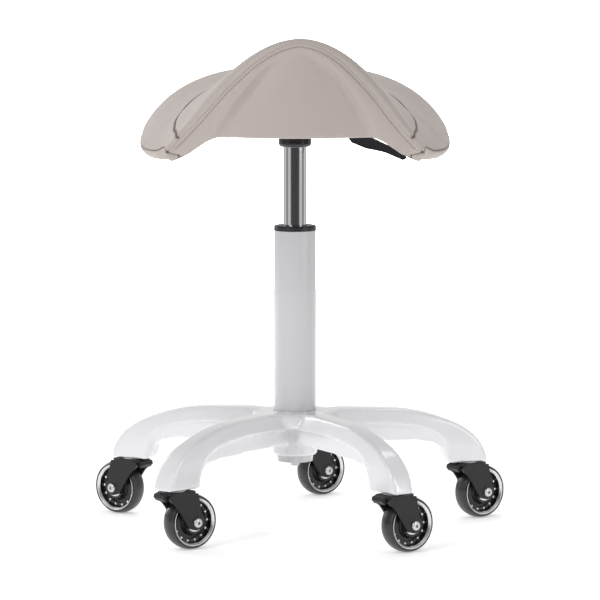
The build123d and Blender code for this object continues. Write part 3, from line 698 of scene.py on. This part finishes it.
# ---- front panel -----------------------------------------------------------------------------
CORNER_X = 0.1475               # half width of the front panel along its seam
FRONT_LOW_HALF = 0.134          # and along its lower edge
VALLEY_MIDDLE = 0.12            # share of the valley's depth that is left at the middle
VALLEY_HALF = 0.065             # distance from the middle where the valley is at full depth
CORNER_SWELL = 0.0030           # how far the corners stand out sideways
CORNER_SWELL_X = 0.122          # where the swell starts
CORNER_SWELL_WIDTH = 0.025
CORNER_SAG = 0.25               # share of the swell that lowers the corner
FRONT_SLANT = 0.002             # the lower edge lies this far behind the seam
FRONT_SHARES = np.concatenate([[0, 0.006, 0.014, 0.024, 0.036, 0.05], np.linspace(0.07, 0.97, 44),
                               [0.985, 1.0]])
HEM_R = 0.003
HEM_ANGLES = (30, 60, 90)
HEM_TURNS = ((0, 0.016, 0.0015), (0, 0.004, 0.004))   # from the hem back under the seat, then up


def front_fall(below, x):
    """Front panel's depth behind the ridge: a rolled border, a valley, then the middle."""
    aside = np.abs(x)
    share = VALLEY_MIDDLE + (1 - VALLEY_MIDDLE) * eased(aside / VALLEY_HALF)
    return valley_depth(below / valley_reach(aside)) * share


def front_grid():
    """Front panel from the front seam down to its lower edge and under it."""
    place, inward, roll = ridge_line()
    seam_line = place + roll[:, None] * (inward + FORWARD)
    seam_line = seam_line[np.abs(seam_line[:, 0]) <= CORNER_X]
    x_top, y_top, z_top = seam_line.T
    squint = 1 / np.sqrt(1 + np.gradient(z_top, x_top) ** 2)
    x_low = x_top * (FRONT_LOW_HALF / np.abs(x_top).max())
    z_low = front_floor_z(np.abs(x_low))
    corner = eased((np.abs(x_top) - CORNER_SWELL_X) / CORNER_SWELL_WIDTH)
    rows = []
    for share in FRONT_SHARES:
        swell = CORNER_SWELL * corner * math.sin(math.pi * share)
        x = x_top + (x_low - x_top) * share + np.sign(x_top) * swell
        z = z_top + (z_low - z_top) * share - CORNER_SAG * swell
        y = y_top + front_fall((z_top - z) * squint, x_top) + FRONT_SLANT * share
        rows.append(np.stack([x, y, z], axis=1))
    low = rows[-1]
    for angle in np.radians(HEM_ANGLES):
        rows.append(low + HEM_R * np.array([0, 1 - math.cos(angle), -math.sin(angle)]))
    for turn in HEM_TURNS:
        rows.append(rows[-1] + np.array(turn))
    return np.array(rows)


def front_panel():
    """Front cover panel under the pommel, with a sunk middle and a rolled border."""
    grid = front_grid()
    from_seam = walked(grid, 0)
    from_left = walked(grid, 1)
    side = np.minimum(from_left, from_left[:, -1:] - from_left)
    tuck = seam_tuck(np.minimum(from_seam, side), *EDGE_TUCK)
    tuck = tuck + STITCH_TUCK * bell(from_seam - STITCH_DROP, STITCH_TUCK_WIDTH)
    # painted shade along the front panel's side seams
    seam = seam_painted_shade(side, *FRONT_SIDE_SEAM_SHADE)
    grid = grid - grid_normals(grid) * tuck[:, :, None]
    grid = np.concatenate([grid[[0]] + np.array([0, ALLOWANCE, 0]), grid])
    grid = with_turned_sides(grid, *FRONT_TURN)
    seam = np.pad(seam, ((1, 0), (1, 1)), mode="edge")
    sewn_panel("saddle_front_panel", grid, seam, "front_panel")


# ---- top stitching ---------------------------------------------------------------------------
STITCH_PITCH = 0.0038
STITCH_LENGTH = 0.0025
STITCH_R = 0.00055
STITCH_DROP = 0.0046            # distance of the top stitching below the front seam
STITCH_SINK = 0.0002
STITCH_TUCK = 0.0003            # the cover is pulled in along the stitching
STITCH_TUCK_WIDTH = 0.0011
STITCH_ROW = 4                  # row of the front panel that the stitches stand square to
STITCH_MARGIN = 4               # grid columns without stitches at each end of the seam
STITCH_SIDES = 6
# Share of the stitch's length, lift, share of its radius
STITCH_RINGS = ((-0.5, -0.0005, 0.3), (-0.42, 0.0, 0.8), (-0.2, 0.00025, 1.0),
                (0.2, 0.00025, 1.0), (0.42, 0.0, 0.8), (0.5, -0.0005, 0.3))
HOLE_SIDES = 8
HOLE_RINGS = ((0.00038, 0.0002), (0.00030, 0.00045), (0.0, 0.0006))   # lift, radius
UPWARD = np.array([0.0, 0.0, 1.0])


def unit(vectors):
    """Vectors scaled to length 1."""
    return vectors / np.linalg.norm(vectors, axis=-1, keepdims=True)


def ring_points(centre, radius, across, other, sides):
    """Points of a ring in the plane of two directions."""
    turns = [2 * math.pi * side / sides for side in range(sides)]
    return [centre + radius * (math.cos(turn) * across + math.sin(turn) * other) for turn in turns]


def stitches(path, normals):
    """Points and faces of short round-ended stitches along a path."""
    lengths = arc_lengths(path)
    count = int(lengths[-1] / STITCH_PITCH)
    points, faces = [], []
    for index in range(count):
        middle = (index + 0.5) * lengths[-1] / count
        tail = point_along(path, lengths, middle - STITCH_LENGTH / 2)
        centre = point_along(path, lengths, middle)
        head = point_along(path, lengths, middle + STITCH_LENGTH / 2)
        along = unit(head - tail)
        up = unit(point_along(normals, lengths, middle))
        across = np.cross(along, up)
        first = len(points)
        for share, lift, radius in STITCH_RINGS:
            spot = centre + along * share * STITCH_LENGTH + up * lift
            points.extend(ring_points(spot, STITCH_R * radius, across, up, STITCH_SIDES))
        faces.extend(grid_faces(len(STITCH_RINGS), STITCH_SIDES, first, wrap=True))
        faces.append(tuple(range(first, first + STITCH_SIDES)))
        faces.append(tuple(range(len(points) - 1, len(points) - STITCH_SIDES - 1, -1)))
    return points, faces


def needle_holes(path, normals):
    """Points and faces of small dimples between the stitches, in a dark colour that is painted shade in
    the holes.
    """
    lengths = arc_lengths(path)
    count = int(lengths[-1] / STITCH_PITCH)
    points, faces = [], []
    for index in range(1, count):
        spot = index * lengths[-1] / count
        centre = point_along(path, lengths, spot)
        up = unit(point_along(normals, lengths, spot))
        side = unit(np.cross(up, UPWARD))
        other = np.cross(up, side)
        first = len(points)
        for lift, radius in HOLE_RINGS:
            points.extend(ring_points(centre + up * lift, radius, side, other, HOLE_SIDES))
        faces.extend(grid_faces(len(HOLE_RINGS), HOLE_SIDES, first, flip=True, wrap=True))
        faces.append(tuple(range(first, first + HOLE_SIDES)))
    return points, faces


def front_stitching():
    """One row of top stitching along the front seam, with its needle holes."""
    grid = front_grid()
    normals = grid_normals(grid)
    from_seam = walked(grid, 0)
    path, outward = [], []
    for column in range(STITCH_MARGIN, grid.shape[1] - STITCH_MARGIN):
        up = -normals[STITCH_ROW, column]
        path.append(point_along(grid[:, column], from_seam[:, column], STITCH_DROP) - STITCH_SINK * up)
        outward.append(up)
    path, outward = np.array(path), np.array(outward)
    points, faces = stitches(path, outward)
    new_piece("saddle_top_stitching", settled(points), faces, "thread", "seat")
    points, faces = needle_holes(path, outward)
    new_piece("saddle_needle_holes", settled(points), faces, "needle_hole_shade", "seat")


# ---- side band -------------------------------------------------------------------------------
# Section of the band from the side seam, down round the wing's lip, to the hem: outward, upward
BAND_PROFILE = ((-0.0045, 0.0006), (-0.0016, -0.0002), (-0.0006, -0.0009), (0.0, -0.0020),
                (-0.0004, -0.0038), (-0.0018, -0.0062), (-0.0045, -0.0088), (-0.0085, -0.0108),
                (-0.013, -0.0116), (-0.018, -0.0112), (-0.024, -0.0088), (-0.030, -0.0052),
                (-0.0305, -0.0035))
BAND_SEAM_SHADE = (1.0, 0.8, 0.3)     # painted shade on the section's first points, along the side seam
# painted shade along the band's ends at the front corners
BAND_END_SEAM_SHADE = 0.9
BAND_AVERAGE = 6                # neighbours each way that steady the band's outward direction
CORNER_BLENDS = (0.0, 0.10, 0.25, 0.45, 0.65, 0.85)   # from the front panel's edge to the band
CORNER_BULGE = 0.0020
BULGE_END = 0.6                 # share of the section that the bulge covers
BULGE_SAG = 0.4                 # share of the bulge that lowers the cover
CORNER_TUCK = 0.0006            # the band starts this far behind the front panel's edge


def band_path():
    """Outline that the side band is sewn to: left side, rear, right side."""
    grid = top_grid()
    left = grid[:-1, 0]
    rear = grid[-1]
    right = grid[:-1, -1][::-1]
    return np.concatenate([left, rear, right])


def outward_directions(path):
    """Level direction away from the saddle at each point of its outline."""
    ahead = np.gradient(path, axis=0)
    out = unit(np.stack([-ahead[:, 1], ahead[:, 0], np.zeros(len(path))], axis=1))
    padded = np.pad(out, ((BAND_AVERAGE, BAND_AVERAGE), (0, 0)), mode="symmetric")
    window = 2 * BAND_AVERAGE + 1
    kernel = np.ones(window) / window
    return unit(np.stack([np.convolve(padded[:, k], kernel, "valid") for k in range(3)], axis=1))


def corner_sections(hem, section):
    """Sections that carry the side band round a front corner to the front panel's side edge."""
    away = arc_lengths(section)
    along = arc_lengths(hem)
    share = away / away[-1]
    start = point_along(hem, along, share * along[-1]) + np.array([0, CORNER_TUCK, 0])
    sections = []
    for blend in CORNER_BLENDS:
        reach = np.sin(math.pi * np.clip(share / BULGE_END, 0, 1))
        bulge = CORNER_BULGE * math.sin(math.pi * blend) * reach
        middle = start + (section - start) * blend
        middle[:, 1] -= bulge
        middle[:, 2] -= BULGE_SAG * bulge
        sections.append(middle)
    return np.stack(sections, axis=1)


def side_band():
    """Cover strip that wraps under the wings and the rear from the side seam to the hem."""
    path = band_path()
    out = outward_directions(path)
    grid = np.array([path + out * away + UPWARD * rise for away, rise in BAND_PROFILE])
    front = front_grid()
    left = corner_sections(front[:, 0], grid[:, 0])
    right = corner_sections(front[:, -1], grid[:, -1])
    grid = np.concatenate([left, grid, right[:, ::-1]], axis=1)
    # painted shade along the side seam and at the band's ends
    seam = np.zeros(grid.shape[:2])
    seam[:len(BAND_SEAM_SHADE)] = np.array(BAND_SEAM_SHADE)[:, None]
    seam[:, [0, -1]] = BAND_END_SEAM_SHADE
    sewn_panel("saddle_side_band", grid, seam, "side_band", flip=True)


# ---- dust cloth and foam ---------------------------------------------------------------------
CLOTH_ROWS = 64
CLOTH_COLUMNS = 60
CLOTH_FRONT_Y = -0.118
CLOTH_REAR_Y = 0.164
CLOTH_INSET = 0.026             # from the side seam in to the cloth's edge
CLOTH_LIFT = 0.0008
FOAM_FIRST_ROW = 16             # the foam starts behind the sunk part of the front panel
FOAM_SPARE_ROWS = 3             # and ends before the rear seam
FOAM_COVER = 0.0045             # depth below the cover
FOAM_NARROWING = np.array([0.965, 0.975, 1.0])   # of its lower surface
FOAM_FLOOR = 0.0145             # room for the board below the foam
FOAM_THINNEST = 0.002


def underside_cloth():
    """Black dust cloth over the board, tucked inside the hem."""
    across = np.linspace(-1, 1, CLOTH_COLUMNS)
    rows = []
    for y in np.linspace(CLOTH_FRONT_Y, CLOTH_REAR_Y, CLOTH_ROWS):
        x = across * (half_width(y) - CLOTH_INSET)
        rows.append(np.stack([x, np.full_like(x, y), underside(x, y) + CLOTH_LIFT], axis=1))
    new_piece("saddle_dust_cloth", np.reshape(rows, (-1, 3)),
              grid_faces(CLOTH_ROWS, CLOTH_COLUMNS, flip=True), "cloth", "seat",
              ["underside_cloth"])


def outline_loop(rows, columns):
    """Numbers of a grid's outer vertices, in order."""
    loop = [(0, column) for column in range(columns)]
    loop += [(row, columns - 1) for row in range(1, rows)]
    loop += [(rows - 1, column) for column in range(columns - 2, -1, -1)]
    loop += [(row, 0) for row in range(rows - 2, 0, -1)]
    return [row * columns + column for row, column in loop]


def foam_core():
    """Moulded foam under the cover: a closed form a little inside it."""
    grid = top_grid()[FOAM_FIRST_ROW:-FOAM_SPARE_ROWS]
    upper = grid - grid_normals(grid) * FOAM_COVER
    lower = grid * FOAM_NARROWING
    floor = underside(lower[:, :, 0], lower[:, :, 1]) + FOAM_FLOOR
    lower[:, :, 2] = np.minimum(floor, upper[:, :, 2] - FOAM_THINNEST)
    rows, columns = grid.shape[:2]
    half = rows * columns
    points = np.concatenate([upper.reshape(-1, 3), lower.reshape(-1, 3)])
    faces = grid_faces(rows, columns) + grid_faces(rows, columns, half, flip=True)
    loop = outline_loop(rows, columns)
    for a, b in zip(loop, loop[1:] + loop[:1]):
        faces.append((b, a, a + half, b + half))
    piece = new_piece("saddle_foam", settled(points), faces, "foam", "seat", ["seat_foam"])


top_panel()
front_panel()
front_stitching()
side_band()
underside_cloth()
foam_core()


# ---- base ------------------------------------------------------------------------------------
BASE_VOXEL = 0.0018
BASE_SOFTENING = 24             # smoothing rounds, which set how round the casting's edges are


def softened_base():
    """The star base with the soft edges of a casting, made from the CAD shape."""
    source = bpy.data.objects.new("star_source", nodes["base_star"].data.copy())
    bpy.context.scene.collection.objects.link(source)
    remesh = source.modifiers.new("even_skin", "REMESH")
    remesh.mode = "VOXEL"
    remesh.voxel_size = BASE_VOXEL
    relax = source.modifiers.new("soft_edges", "SMOOTH")
    relax.factor = 0.5
    relax.iterations = BASE_SOFTENING
    view = bpy.context.evaluated_depsgraph_get()
    mesh = bpy.data.meshes.new_from_object(source.evaluated_get(view))
    bpy.data.objects.remove(source)
    mesh.materials.clear()
    mesh.materials.append(MATERIALS["white"])
    mesh.polygons.foreach_set("use_smooth", [True] * len(mesh.polygons))
    piece = bpy.data.objects.new("star_base_casting", mesh)
    bpy.context.scene.collection.objects.link(piece)
    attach(piece, "base")
    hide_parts("base_star")


softened_base()
